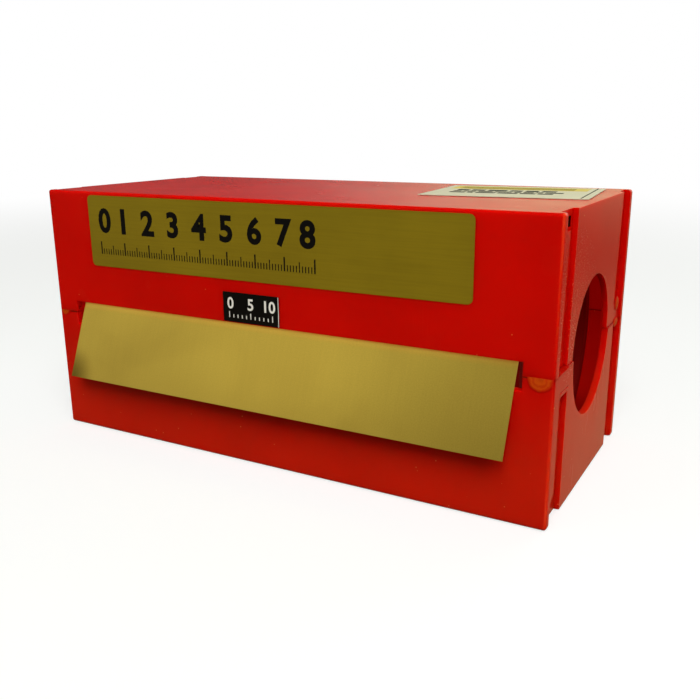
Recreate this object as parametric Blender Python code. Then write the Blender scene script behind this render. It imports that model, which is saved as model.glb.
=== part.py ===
"""Shim foil in its dispenser box: a two-part moulded housing around a coil of brass foil.

Metres, +Z up, +X along the length, -Y towards the front with the slot.
The origin is the middle of the housing's underside.
"""

import math

import bmesh
import bpy
from mathutils import Matrix, Vector

MM = 0.001

# Housing
LENGTH = 170.0 * MM
DEPTH = 77.7 * MM
HEIGHT = 80.4 * MM
WALL = 2.4 * MM
END_WALL = 2.0 * MM
EDGE_ROUND = 0.8 * MM
DETAIL_ROUND = 0.5 * MM
SLOT_ROUND = 0.3 * MM
ROUND_STEPS = 3
DETAIL_STEPS = 2
SEAM_GAP = 0.3 * MM
TONGUE = 1.2 * MM
TONGUE_HEIGHT = 1.6 * MM
CLEARANCE = 0.3 * MM

# End faces
PANEL_RECESS = 0.4 * MM
UPPER_LEAN = 0.4 * MM
GROOVE_DEPTH = 1.9 * MM
GROOVE_WIDTH = 8.6 * MM
FRONT_RAIL = 5.3 * MM
BACK_RAIL = 3.0 * MM
RAIL_AT_SEAM = 2.8 * MM
RAIL_LIP = 2.5 * MM
TOP_STEP = 4.4 * MM
BOTTOM_STEP = 6.8 * MM
BOTTOM_STEP_SLOPE = 1.5 * MM
BRIDGE_HEIGHT = 6.0 * MM
SCORE_ABOVE_BRIDGE_END = 0.9 * MM
SCORE_WIDTH = 0.4 * MM
SCORE_DEPTH = 0.5 * MM
WINDOW_HEIGHT = 2.7 * MM
WINDOW_MARGIN = 1.4 * MM
HOLE_DIAMETER = 39.8 * MM
HOLE_SEGMENTS = 64

# Slot
SLOT_PLAY = 1.8 * MM
SLOT_HEIGHT = 7.4 * MM

# Foil
FOIL_MARGIN = 10.0 * MM
FOIL_LENGTH = 2500.0 * MM
FOIL_THICKNESS = 0.2 * MM
TURN_PITCH = 0.28 * MM
TURN_GROOVE = 0.5 * MM
COIL_SEGMENTS = 64
TAIL_LENGTH = 21.8 * MM
TAIL_LIP_GAP = 0.12 * MM
TAIL_SEAT = 0.25 * MM

# Labels
LABEL_THICKNESS = 0.15 * MM
LABEL_GAP = 0.1 * MM
FRONT_LABEL_CORNER = 1.5 * MM
THICKNESS_LABEL_CORNER = 0.2 * MM
CORNER_STEPS = 5
FRONT_LABEL_LEFT = 18.0 * MM
FRONT_LABEL_RIGHT = 21.6 * MM
FRONT_LABEL_BELOW_TOP = 1.1 * MM
THICKNESS_LABEL_WIDTH = 19.8 * MM
THICKNESS_LABEL_HEIGHT = 8.9 * MM
THICKNESS_LABEL_LEFT = 70.4 * MM
THICKNESS_LABEL_ABOVE_SLOT = 0.4 * MM
LABEL_SPACING = 3.7 * MM
TOP_LABEL_WIDTH = 48.0 * MM
TOP_LABEL_HEIGHT = 37.5 * MM
TOP_LABEL_RIGHT = 29.0 * MM
TOP_LABEL_BACK = 26.2 * MM
TOP_LABEL_TURN = math.radians(5.5)

# Worked out from the above
OVER = 2.0 * MM
TOUCH = 0.05 * MM
PANEL_LAP = 0.1 * MM
FRONT = -DEPTH / 2
BACK = DEPTH / 2
END = LENGTH / 2
SEAM = HEIGHT / 2
GROOVE_WALL = GROOVE_DEPTH + END_WALL
PANEL_WALL = PANEL_RECESS + END_WALL
FRONT_GROOVE = (FRONT + FRONT_RAIL, FRONT + FRONT_RAIL + GROOVE_WIDTH)
BACK_GROOVE = (BACK - BACK_RAIL - GROOVE_WIDTH, BACK - BACK_RAIL)
FOIL_WIDTH = LENGTH - 2 * FOIL_MARGIN
SLOT_WIDTH = FOIL_WIDTH + 2 * SLOT_PLAY
SLOT_TOP = SEAM + SLOT_HEIGHT / 2
COIL_REST = WALL + CLEARANCE
SLOT_MIDDLE = (FRONT + WALL / 2, SEAM)
THICKNESS_LABEL_BOTTOM = SLOT_TOP + THICKNESS_LABEL_ABOVE_SLOT
FRONT_LABEL_BOTTOM = THICKNESS_LABEL_BOTTOM + THICKNESS_LABEL_HEIGHT + LABEL_SPACING
FRONT_LABEL_WIDTH = LENGTH - FRONT_LABEL_LEFT - FRONT_LABEL_RIGHT
FRONT_LABEL_HEIGHT = HEIGHT - FRONT_LABEL_BELOW_TOP - FRONT_LABEL_BOTTOM


def clear_scene():
    for item in list(bpy.data.objects):
        bpy.data.objects.remove(item)


def material(name, colour, roughness, metallic=0.0):
    made = bpy.data.materials.new(name)
    made.use_nodes = True
    shader = made.node_tree.nodes["Principled BSDF"]
    shader.inputs["Base Color"].default_value = (*colour, 1.0)
    shader.inputs["Roughness"].default_value = roughness
    shader.inputs["Metallic"].default_value = metallic
    return made


def new_object(name, mesh_builder):
    mesh = bpy.data.meshes.new(name)
    mesh_builder.to_mesh(mesh)
    mesh_builder.free()
    made = bpy.data.objects.new(name, mesh)
    bpy.context.scene.collection.objects.link(made)
    return made


def hide_cutter(cutter):
    cutter.hide_render = True
    cutter.display_type = "WIRE"
    return cutter


def cube(low, high):
    builder = bmesh.new()
    middle = [(a + b) / 2 for a, b in zip(low, high)]
    sides = [b - a for a, b in zip(low, high)]
    bmesh.ops.create_cube(builder, size=1.0, matrix=Matrix.Translation(middle) @ Matrix.Diagonal((*sides, 1.0)))
    return builder


def box(name, low, high):
    return new_object(name, cube(low, high))


def prism(name, outline, axis, low, high):
    """A closed outline of 2-D points, extruded along one axis from low to high."""
    builder = bmesh.new()
    places = {
        "X": lambda a, b: (low, a, b),
        "Y": lambda a, b: (a, low, b),
        "Z": lambda a, b: (a, b, low),
    }
    travel = {"X": (high - low, 0, 0), "Y": (0, high - low, 0), "Z": (0, 0, high - low)}
    face = builder.faces.new([builder.verts.new(places[axis](a, b)) for a, b in outline])
    extruded = bmesh.ops.extrude_face_region(builder, geom=[face])
    moved = [item for item in extruded["geom"] if isinstance(item, bmesh.types.BMVert)]
    bmesh.ops.translate(builder, vec=travel[axis], verts=moved)
    bmesh.ops.recalc_face_normals(builder, faces=builder.faces)
    return new_object(name, builder)


def boolean(target, tool, operation):
    modifier = target.modifiers.new(tool.name, "BOOLEAN")
    modifier.operation = operation
    modifier.solver = "EXACT"
    modifier.object = tool
    hide_cutter(tool)


def cut(target, *tools):
    for tool in tools:
        boolean(target, tool, "DIFFERENCE")


def add(target, *tools):
    for tool in tools:
        boolean(target, tool, "UNION")


def smooth(target, degrees=30):
    target.data.shade_smooth()
    target.data.set_sharp_from_angle(angle=math.radians(degrees))


def shell_block(name, low, high, seam):
    """A half of the housing as a solid block, its outer edges rounded except along the seam."""
    builder = cube((-END, FRONT, low), (END, BACK, high))
    edges = [e for e in builder.edges if not all(abs(v.co.z - seam) < 1e-6 for v in e.verts)]
    bmesh.ops.bevel(builder, geom=edges, offset=EDGE_ROUND, segments=ROUND_STEPS, profile=0.5, affect="EDGES")
    return new_object(name, builder)


def settle_cuts(shell):
    """Puts the result of the cuts in place of the block, without the flat edges they leave."""
    graph = bpy.context.evaluated_depsgraph_get()
    shell.data = bpy.data.meshes.new_from_object(shell.evaluated_get(graph))
    shell.modifiers.clear()
    builder = bmesh.new()
    builder.from_mesh(shell.data)
    bmesh.ops.remove_doubles(builder, verts=builder.verts, dist=1e-6)
    bmesh.ops.dissolve_limit(builder, angle_limit=math.radians(0.2), verts=builder.verts, edges=builder.edges)
    return builder


def is_sharp(edge):
    return edge.is_manifold and edge.calc_face_angle_signed() > math.radians(40)


def at_end(edge):
    """On the outer surfaces of an end, above the floor of its grooves."""
    return all(abs(v.co.x) > END - GROOVE_DEPTH + TOUCH for v in edge.verts)


def at_slot(edge):
    """Where the slot opens in the front face."""
    inside = SLOT_WIDTH / 2 + TOUCH
    return all(
        v.co.y < FRONT + TOUCH and abs(v.co.x) < inside and abs(v.co.z - SEAM) < SLOT_HEIGHT / 2 + TOUCH
        for v in edge.verts
    )


def round_edges(shell, seam):
    """Rounds the moulded edges at both ends and at the slot, and leaves the seam sharp."""
    builder = settle_cuts(shell)
    for place, offset in ((at_end, DETAIL_ROUND), (at_slot, SLOT_ROUND)):
        edges = [
            e
            for e in builder.edges
            if is_sharp(e) and place(e) and not all(abs(v.co.z - seam) < TOUCH for v in e.verts)
        ]
        bmesh.ops.bevel(
            builder, geom=edges, offset=offset, segments=DETAIL_STEPS, profile=0.5, affect="EDGES", clamp_overlap=True
        )
    builder.to_mesh(shell.data)
    builder.free()
    smooth(shell)


def cavity_cutters(tag, low, high):
    """The room for the coil, and the shallow pockets that thin the end walls behind the panels."""
    inner = END - GROOVE_WALL
    main = box(f"{tag}_cavity", (-inner, FRONT + WALL, low), (inner, BACK - WALL, high))
    pocket_front = FRONT_GROOVE[1] + END_WALL
    pocket_back = BACK_GROOVE[0] - END_WALL
    reach = END - PANEL_WALL
    pocket = box(f"{tag}_pocket", (-reach, pocket_front, low), (reach, pocket_back, high))
    return main, pocket


def end_cutters(tag, make):
    """Calls make for each end: side is -1 for the left end, +1 for the right."""
    tools = []
    for side, word in ((-1, "left"), (1, "right")):
        tools.extend(make(f"{tag}_{word}", side))
    return tools


def span(side, inside, outside):
    """X values of a cut that starts at depth inside below an end and runs past it."""
    a, b = side * (END - inside), side * (END + outside)
    return min(a, b), max(a, b)


def hole_cutter(tag):
    builder = bmesh.new()
    bmesh.ops.create_cone(
        builder,
        cap_ends=True,
        segments=HOLE_SEGMENTS,
        radius1=HOLE_DIAMETER / 2,
        radius2=HOLE_DIAMETER / 2,
        depth=LENGTH + 2 * OVER,
        matrix=Matrix.Translation((0, 0, SEAM)) @ Matrix.Rotation(math.pi / 2, 4, "Y"),
    )
    return new_object(f"{tag}_hole", builder)


def slot_cutter(tag):
    half = SLOT_WIDTH / 2
    low, high = SEAM - SLOT_HEIGHT / 2, SLOT_TOP
    return box(f"{tag}_slot", (-half, FRONT - OVER, low), (half, FRONT + WALL + OVER, high))


def lower_end(tag, side):
    low, high = span(side, GROOVE_DEPTH, OVER)
    front, inner = FRONT_GROOVE
    thin = FRONT + RAIL_LIP
    slope_end = BOTTOM_STEP + BOTTOM_STEP_SLOPE
    front_outline = [
        (thin, -OVER),
        (inner, -OVER),
        (inner, SEAM - BRIDGE_HEIGHT),
        (front, SEAM - BRIDGE_HEIGHT),
        (front, slope_end),
        (thin, BOTTOM_STEP),
    ]
    yield prism(f"{tag}_front_groove", front_outline, "X", low, high)
    yield box(f"{tag}_back_groove", (low, BACK_GROOVE[0], -OVER), (high, BACK_GROOVE[1], SEAM + OVER))
    low, high = span(side, SCORE_DEPTH, OVER)
    score = SEAM - BRIDGE_HEIGHT + SCORE_ABOVE_BRIDGE_END
    yield box(f"{tag}_score", (low, front, score), (high, inner - PANEL_LAP, score + SCORE_WIDTH))
    low, high = span(side, PANEL_RECESS, OVER)
    yield box(f"{tag}_panel", (low, inner - PANEL_LAP, -OVER), (high, BACK_GROOVE[0] + PANEL_LAP, SEAM + OVER))


def upper_end(tag, side):
    low, high = span(side, GROOVE_DEPTH, OVER)
    front, inner = FRONT_GROOVE
    step = HEIGHT - TOP_STEP
    top = HEIGHT + OVER
    below = SEAM - OVER
    front_outline = [
        (FRONT + RAIL_AT_SEAM, below),
        (inner, below),
        (inner, top),
        (FRONT + RAIL_LIP, top),
        (FRONT + RAIL_LIP, step),
        (front, step),
    ]
    yield prism(f"{tag}_front_groove", front_outline, "X", low, high)
    bridge = SEAM + BRIDGE_HEIGHT
    yield box(f"{tag}_back_groove", (low, BACK_GROOVE[0], bridge), (high, BACK_GROOVE[1], top))
    window_low, window_high = span(side, GROOVE_WALL + OVER, OVER)
    for word, (a, b) in (("front", FRONT_GROOVE), ("back", BACK_GROOVE)):
        yield box(
            f"{tag}_{word}_window",
            (window_low, a + WINDOW_MARGIN, step),
            (window_high, b - WINDOW_MARGIN, step + WINDOW_HEIGHT),
        )
    panel = [
        (side * (END - PANEL_RECESS), top),
        (side * (END + OVER), top),
        (side * (END + OVER), SEAM),
        (side * (END - PANEL_RECESS - UPPER_LEAN), SEAM),
    ]
    yield prism(f"{tag}_panel", panel, "Y", inner - PANEL_LAP, BACK_GROOVE[1])


def tongues(tag, grow, height):
    """The strips on the inner side of the front and back walls that close the seam."""
    inner = END - GROOVE_WALL - CLEARANCE
    low = SEAM - TONGUE_HEIGHT
    for word, face, way in (("front", FRONT, 1), ("back", BACK, -1)):
        inside = face + way * (WALL + (OVER if grow else 0.0))
        outside = face + way * (WALL - TONGUE - (CLEARANCE if grow else 0.0))
        reach = inner + (CLEARANCE if grow else 0.0)
        a, b = min(inside, outside), max(inside, outside)
        yield box(f"{tag}_{word}_tongue", (-reach, a, low), (reach, b, SEAM + height))


def make_lower_shell(plastic):
    shell = shell_block("lower_shell", 0.0, SEAM - SEAM_GAP / 2, SEAM - SEAM_GAP / 2)
    shell.data.materials.append(plastic)
    cut(shell, *cavity_cutters("lower", WALL, SEAM + OVER))
    add(shell, *tongues("lower", False, TONGUE_HEIGHT))
    cut(shell, *end_cutters("lower", lower_end))
    cut(shell, hole_cutter("lower"), slot_cutter("lower"))
    round_edges(shell, SEAM - SEAM_GAP / 2)
    return shell


def make_upper_shell(plastic):
    shell = shell_block("upper_shell", SEAM + SEAM_GAP / 2, HEIGHT, SEAM + SEAM_GAP / 2)
    shell.data.materials.append(plastic)
    cut(shell, *cavity_cutters("upper", SEAM - OVER, HEIGHT - WALL))
    cut(shell, *tongues("upper", True, TONGUE_HEIGHT + CLEARANCE))
    cut(shell, *end_cutters("upper", upper_end))
    cut(shell, hole_cutter("upper"), slot_cutter("upper"))
    round_edges(shell, SEAM + SEAM_GAP / 2)
    return shell


def steepest_tail():
    """The most upright lean at which the free end clears the slot's inner upper and outer lower edges."""
    across = FOIL_THICKNESS + 2 * TAIL_LIP_GAP
    return math.atan(WALL / SLOT_HEIGHT) + math.asin(across / math.hypot(WALL, SLOT_HEIGHT))


def coil_radius():
    """The largest coil that rests on the floor and the back wall, and whose outer turn still runs
    straight out through the slot.
    """
    lean = steepest_tail()
    behind_slot = BACK - COIL_REST - SLOT_MIDDLE[0]
    above_floor = SLOT_MIDDLE[1] - COIL_REST
    reach = TAIL_SEAT + behind_slot * math.cos(lean) + above_floor * math.sin(lean)
    room = min(DEPTH, HEIGHT) / 2 - COIL_REST
    return min(reach / (1 + math.sin(lean) + math.cos(lean)), room)


def coil_middle(radius):
    return BACK - COIL_REST - radius, COIL_REST + radius


def tail_lean(radius, middle):
    """The free end's angle from upright, on the line from the slot that touches the coil."""
    ahead = middle[0] - SLOT_MIDDLE[0]
    above = middle[1] - SLOT_MIDDLE[1]
    climb = math.asin((radius - TAIL_SEAT) / math.hypot(ahead, above)) + math.atan2(above, ahead)
    return math.pi / 2 - climb


def coil_turns(radius):
    """Turns that hold the foil's length, wound inwards from the outer radius at the pitch."""
    around = 2 * math.pi * radius
    return (around - math.sqrt(around**2 - 4 * math.pi * TURN_PITCH * FOIL_LENGTH)) / (2 * math.pi * TURN_PITCH)


def coil_profile(radius):
    """Half section of the coil as (x, radius), down its right end, with a groove between turns."""
    turns = round(coil_turns(radius))
    half = FOIL_WIDTH / 2
    right = []
    for turn in range(turns):
        outer = radius - turn * TURN_PITCH
        right.append((half, outer))
        if turn < turns - 1:
            right.append((half - TURN_GROOVE, outer - (FOIL_THICKNESS + TURN_PITCH) / 2))
    right.append((half, radius - (turns - 1) * TURN_PITCH - FOIL_THICKNESS))
    left = [(-x, r) for x, r in reversed(right)]
    return right + left


def make_coil(radius, middle):
    builder = bmesh.new()
    profile = [builder.verts.new((x, 0, r)) for x, r in coil_profile(radius)]
    edges = [builder.edges.new((a, b)) for a, b in zip(profile, profile[1:] + profile[:1])]
    bmesh.ops.spin(
        builder,
        geom=profile + edges,
        cent=(0, 0, 0),
        axis=(1, 0, 0),
        angle=2 * math.pi,
        steps=COIL_SEGMENTS,
        use_merge=True,
    )
    bmesh.ops.remove_doubles(builder, verts=builder.verts, dist=1e-6)
    bmesh.ops.translate(builder, vec=(0, *middle), verts=builder.verts)
    bmesh.ops.recalc_face_normals(builder, faces=builder.faces)
    return new_object("brass_foil", builder)


def tail_ends(radius, middle):
    """Where the free end leaves the coil, just inside its outer turn, and its outer edge."""
    lean = tail_lean(radius, middle)
    inside = radius - TAIL_SEAT
    start = (middle[0] - inside * math.cos(lean), middle[1] + inside * math.sin(lean))
    edge = (
        SLOT_MIDDLE[0] - TAIL_LENGTH * math.sin(lean),
        SLOT_MIDDLE[1] - TAIL_LENGTH * math.cos(lean),
    )
    return start, edge


def strip_outline(points, thickness):
    """Both sides of a line of points, thickness apart."""
    left, right = [], []
    for index, point in enumerate(points):
        before = points[max(index - 1, 0)]
        after = points[min(index + 1, len(points) - 1)]
        along = (after[0] - before[0], after[1] - before[1])
        size = math.hypot(*along)
        side = (-along[1] / size * thickness / 2, along[0] / size * thickness / 2)
        left.append((point[0] + side[0], point[1] + side[1]))
        right.append((point[0] - side[0], point[1] - side[1]))
    return left + right[::-1]


def make_foil(brass):
    radius = coil_radius()
    middle = coil_middle(radius)
    coil = make_coil(radius, middle)
    coil.data.materials.append(brass)
    outline = strip_outline(tail_ends(radius, middle), FOIL_THICKNESS)
    add(coil, prism("foil_tail", outline, "X", -FOIL_WIDTH / 2, FOIL_WIDTH / 2))
    smooth(coil)
    return coil


def rounded_rectangle(width, height, corner):
    points = []
    corners = ((1, 1, 0), (-1, 1, 90), (-1, -1, 180), (1, -1, 270))
    for x_side, y_side, start in corners:
        x = x_side * (width / 2 - corner)
        y = y_side * (height / 2 - corner)
        for step in range(CORNER_STEPS + 1):
            angle = math.radians(start + 90 * step / CORNER_STEPS)
            points.append((x + corner * math.cos(angle), y + corner * math.sin(angle)))
    return points


def front_sticker(name, width, height, corner, left, bottom, finish):
    """A sticker on the front wall, placed by its left and lower edges."""
    x = -END + left + width / 2
    z = bottom + height / 2
    outline = [(x + a, z + b) for a, b in rounded_rectangle(width, height, corner)]
    face = FRONT - LABEL_GAP
    made = prism(name, outline, "Y", face - LABEL_THICKNESS, face)
    made.data.materials.append(finish)
    return made


def top_sticker(name, finish):
    """A square-cornered sticker on the top, turned a little, placed by its middle."""
    turn = Matrix.Rotation(TOP_LABEL_TURN, 2)
    across, along = TOP_LABEL_WIDTH / 2, TOP_LABEL_HEIGHT / 2
    middle = Vector((END - TOP_LABEL_RIGHT, BACK - TOP_LABEL_BACK))
    corners = ((-across, -along), (across, -along), (across, along), (-across, along))
    outline = [middle + turn @ Vector(corner) for corner in corners]
    low = HEIGHT + LABEL_GAP
    made = prism(name, outline, "Z", low, low + LABEL_THICKNESS)
    made.data.materials.append(finish)
    return made


def make_labels(gold, black, paper):
    front_sticker(
        "front_label",
        FRONT_LABEL_WIDTH,
        FRONT_LABEL_HEIGHT,
        FRONT_LABEL_CORNER,
        FRONT_LABEL_LEFT,
        FRONT_LABEL_BOTTOM,
        gold,
    )
    front_sticker(
        "thickness_label",
        THICKNESS_LABEL_WIDTH,
        THICKNESS_LABEL_HEIGHT,
        THICKNESS_LABEL_CORNER,
        THICKNESS_LABEL_LEFT,
        THICKNESS_LABEL_BOTTOM,
        black,
    )
    top_sticker("top_label", paper)


clear_scene()
red_plastic = material("red_plastic", (0.50, 0.006, 0.004), 0.28)
make_lower_shell(red_plastic)
make_upper_shell(red_plastic)
make_foil(material("brass", (0.46, 0.31, 0.09), 0.35, metallic=1.0))
make_labels(
    material("gold_label", (0.20, 0.12, 0.016), 0.45),
    material("black_label", (0.004, 0.004, 0.004), 0.4),
    material("top_label", (0.75, 0.72, 0.66), 0.6),
)
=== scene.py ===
import math
import random

import bpy
from mathutils import Matrix, Vector, noise


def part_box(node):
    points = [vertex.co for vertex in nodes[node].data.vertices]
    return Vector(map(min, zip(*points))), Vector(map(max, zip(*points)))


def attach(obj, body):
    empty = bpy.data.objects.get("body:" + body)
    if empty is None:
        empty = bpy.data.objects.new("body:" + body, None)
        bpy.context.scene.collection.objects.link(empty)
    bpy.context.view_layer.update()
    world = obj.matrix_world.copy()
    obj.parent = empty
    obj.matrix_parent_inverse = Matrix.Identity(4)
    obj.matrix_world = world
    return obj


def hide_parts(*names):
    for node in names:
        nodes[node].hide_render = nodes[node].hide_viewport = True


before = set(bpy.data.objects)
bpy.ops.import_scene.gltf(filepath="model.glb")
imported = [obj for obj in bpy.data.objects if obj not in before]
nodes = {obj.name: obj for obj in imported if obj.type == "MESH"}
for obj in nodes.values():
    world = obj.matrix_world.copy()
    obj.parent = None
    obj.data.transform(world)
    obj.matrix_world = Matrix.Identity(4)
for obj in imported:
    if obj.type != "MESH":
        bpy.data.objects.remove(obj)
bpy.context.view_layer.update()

mm = 0.001
random.seed(11)

# Sizes that several pieces share, read from the fixed frame
upperLow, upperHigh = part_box("upper_shell")
foilLow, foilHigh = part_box("brass_foil")
frontFace = upperLow.y
endFace = upperHigh.x
topFace = upperHigh.z
seamHeight = topFace / 2
seamGap = 0.3 * mm
print("frame loaded:", ", ".join(sorted(nodes)))


# General helpers

def chooseOnly(piece):
    bpy.ops.object.select_all(action="DESELECT")
    piece.select_set(True)
    bpy.context.view_layer.objects.active = piece


def settle(piece):
    chooseOnly(piece)
    bpy.ops.object.transform_apply(location=True, rotation=True, scale=True)
    return piece


def applyModifier(piece, kind, **settings):
    chooseOnly(piece)
    modifier = piece.modifiers.new(kind.lower(), kind)
    for name, value in settings.items():
        setattr(modifier, name, value)
    bpy.ops.object.modifier_apply(modifier=modifier.name)


def editMode(piece, select="NONE"):
    chooseOnly(piece)
    bpy.ops.object.mode_set(mode="EDIT")
    bpy.ops.mesh.select_mode(type="FACE")
    bpy.ops.mesh.select_all(action="SELECT" if select == "ALL" else "DESELECT")


def objectMode():
    bpy.ops.object.mode_set(mode="OBJECT")


def selectFaces(piece, wanted):
    editMode(piece)
    objectMode()
    for face in piece.data.polygons:
        face.select = wanted(face)
    bpy.ops.object.mode_set(mode="EDIT")


def smoothByAngle(piece, degrees):
    chooseOnly(piece)
    bpy.ops.object.shade_smooth_by_angle(angle=math.radians(degrees))


def named(piece, name):
    piece.name = name
    piece.data.name = name
    return piece


def joinAll(pieces, name):
    bpy.ops.object.select_all(action="DESELECT")
    for piece in pieces:
        piece.select_set(True)
    bpy.context.view_layer.objects.active = pieces[0]
    if len(pieces) > 1:
        bpy.ops.object.join()
    return named(bpy.context.view_layer.objects.active, name)


def finishPiece(piece, material, replaced=()):
    piece.data.materials.clear()
    piece.data.materials.append(material)
    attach(piece, "root")
    if replaced:
        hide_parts(*replaced)
    return piece


def dressNode(name, material):
    nodes[name].data.materials.clear()
    nodes[name].data.materials.append(material)


# Node helpers

def newMaterial(name):
    made = bpy.data.materials.new(name)
    made.use_nodes = True
    return made


def addNode(tree, kind, values=None, **settings):
    made = tree.nodes.new("ShaderNode" + kind)
    for name, value in settings.items():
        setattr(made, name, value)
    for socket, value in (values or {}).items():
        if isinstance(value, bpy.types.NodeSocket):
            tree.links.new(value, made.inputs[socket])
        else:
            made.inputs[socket].default_value = value
    return made


def mathNode(tree, operation, first, second=0.0):
    return addNode(tree, "Math", {0: first, 1: second}, operation=operation).outputs[0]


def product(tree, *values):
    result = values[0]
    for value in values[1:]:
        result = mathNode(tree, "MULTIPLY", result, value)
    return result


def absolute(tree, value):
    return mathNode(tree, "ABSOLUTE", value)


def offSeam(tree, height):
    # how far above or below the seam
    return absolute(tree, mathNode(tree, "SUBTRACT", height, seamHeight))


def rangeNode(tree, value, fromLow, fromHigh, toLow=0.0, toHigh=1.0, smooth=True):
    kind = "SMOOTHSTEP" if smooth else "LINEAR"
    values = {"Value": value, "From Min": fromLow, "From Max": fromHigh, "To Min": toLow, "To Max": toHigh}
    return addNode(tree, "MapRange", values, interpolation_type=kind).outputs[0]


def fadeOut(tree, value, start, end):
    # 1 up to start, 0 from end on
    return rangeNode(tree, value, start, end, 1.0, 0.0)


def spreadNoise(tree, pattern, low, high):
    # nearly all of a noise lies between 0.3 and 0.7
    return rangeNode(tree, pattern, 0.3, 0.7, low, high)


def between(tree, value, low, high):
    # 1 between two values, 0 outside them
    values = {0: value, 1: (low + high) / 2, 2: (high - low) / 2}
    return addNode(tree, "Math", values, operation="COMPARE").outputs[0]


def opaque(colour):
    return colour if isinstance(colour, bpy.types.NodeSocket) else (*colour, 1.0)


def mixColour(tree, factor, first, second):
    # in a Mix node for colours, sockets 6 and 7 take the colours and output 2 gives the result
    values = {0: factor, 6: opaque(first), 7: opaque(second)}
    return addNode(tree, "Mix", values, data_type="RGBA", clamp_factor=True).outputs[2]


def mixValue(tree, factor, first, second):
    return addNode(tree, "Mix", {0: factor, 2: first, 3: second}).outputs[0]


def toneColour(tree, colour, tone):
    return addNode(tree, "HueSaturation", {"Color": opaque(colour), "Value": tone}).outputs[0]


def noiseNode(tree, vector, scale, detail=2.0, roughness=0.5, distortion=0.0):
    values = {
        "Vector": vector,
        "Scale": scale,
        "Detail": detail,
        "Roughness": roughness,
        "Distortion": distortion,
    }
    return addNode(tree, "TexNoise", values).outputs["Fac"]


def objectCoords(tree):
    return addNode(tree, "TexCoord").outputs["Object"]


def placeParts(tree):
    # X, Y and Z of a place on the object, in metres
    return addNode(tree, "SeparateXYZ", {0: objectCoords(tree)}).outputs


def mappedCoords(tree, turn=(0, 0, 0), scale=(1, 1, 1)):
    turned = tuple(math.radians(angle) for angle in turn)
    values = {"Vector": objectCoords(tree), "Rotation": turned, "Scale": scale}
    return addNode(tree, "Mapping", values).outputs[0]


def bumpNode(tree, height, distance, below=None):
    values = {"Height": height, "Distance": distance}
    if below is not None:
        values["Normal"] = below
    return addNode(tree, "Bump", values).outputs[0]


def setShader(tree, **values):
    shader = tree.nodes["Principled BSDF"]
    for name, value in values.items():
        socket = shader.inputs[name.replace("_", " ")]
        if isinstance(value, bpy.types.NodeSocket):
            tree.links.new(value, socket)
        else:
            socket.default_value = value
    return shader


# Finishes. A pattern's scale is in repeats a metre, and a bump's depth is in metres.

def nearPoint(tree, spot):
    # 1 close to a place given in millimetres, 0 from its reach on
    squeeze = spot.get("squeeze", (1, 1, 1))
    coords = mappedCoords(tree, scale=tuple(value / mm for value in squeeze))
    place = tuple(value * factor for value, factor in zip(spot["place"], squeeze))
    distance = addNode(tree, "VectorMath", {0: coords, 1: place}, operation="DISTANCE").outputs["Value"]
    close = spot["reach"] * 0.1
    return fadeOut(tree, distance, close, spot["reach"])


openSeam = {
    "halfHeight": (0.08 * mm, 0.16 * mm),
    "halfLength": (79.2 * mm, 80.4 * mm),    # it ends at the cement drops
    "depth": 0.5 * mm,
}


def seamLines(tree):
    # the open seam between the slot and the cement drops
    part = placeParts(tree)
    line = fadeOut(tree, offSeam(tree, part["Z"]), *openSeam["halfHeight"])
    along = fadeOut(tree, absolute(tree, part["X"]), *openSeam["halfLength"])
    atFront = mathNode(tree, "LESS_THAN", part["Y"], frontFace + openSeam["depth"])
    return product(tree, line, along, atFront)


inside = {
    "endWalls": (3.4 * mm, 2.6 * mm),     # in from the faces of the two ends
    "sideWalls": (2.6 * mm, 2.0 * mm),    # in from the front, the back, the top and the underside
    "dimming": (25 * mm, 33 * mm),        # up or down from the seam
    "dimmest": 0.1,
}


def insideBox(tree):
    # 1 on what lies within the housing's walls
    part = placeParts(tree)
    upright = offSeam(tree, part["Z"])
    masks = []
    for distance, face, walls in (
        (absolute(tree, part["X"]), endFace, inside["endWalls"]),
        (absolute(tree, part["Y"]), -frontFace, inside["sideWalls"]),
        (upright, seamHeight, inside["sideWalls"]),
    ):
        masks.append(fadeOut(tree, distance, face - walls[0], face - walls[1]))
    # less light gets to the floor and the ceiling, which the small windows show
    dimming = rangeNode(tree, upright, *inside["dimming"], 1.0, inside["dimmest"])
    return product(tree, *masks, dimming)


windows = {"along": (81.0 * mm, 83.0 * mm), "across": (25.0 * mm, 33.5 * mm), "up": (75.9 * mm, 78.8 * mm)}


def windowWalls(tree):
    # 1 on the walls of the small windows in the grooves, where hardly any light gets
    part = placeParts(tree)
    along = between(tree, absolute(tree, part["X"]), *windows["along"])
    across = between(tree, absolute(tree, part["Y"]), *windows["across"])
    return product(tree, along, across, between(tree, part["Z"], *windows["up"]))


slotWalls = {
    "starts": (0.15 * mm, 0.5 * mm),      # in from the front face
    "ends": (2.2 * mm, 2.6 * mm),
    "halfLength": (74 * mm, 75.5 * mm),
    "halfHeight": (4.5 * mm, 5 * mm),
}


def slotLips(tree):
    # 1 on the walls of the slot, 0 on the front face
    part = placeParts(tree)
    starts = rangeNode(tree, part["Y"], *(frontFace + depth for depth in slotWalls["starts"]))
    ends = fadeOut(tree, part["Y"], *(frontFace + depth for depth in slotWalls["ends"]))
    along = fadeOut(tree, absolute(tree, part["X"]), *slotWalls["halfLength"])
    upright = fadeOut(tree, offSeam(tree, part["Z"]), *slotWalls["halfHeight"])
    return product(tree, starts, ends, along, upright)


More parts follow.
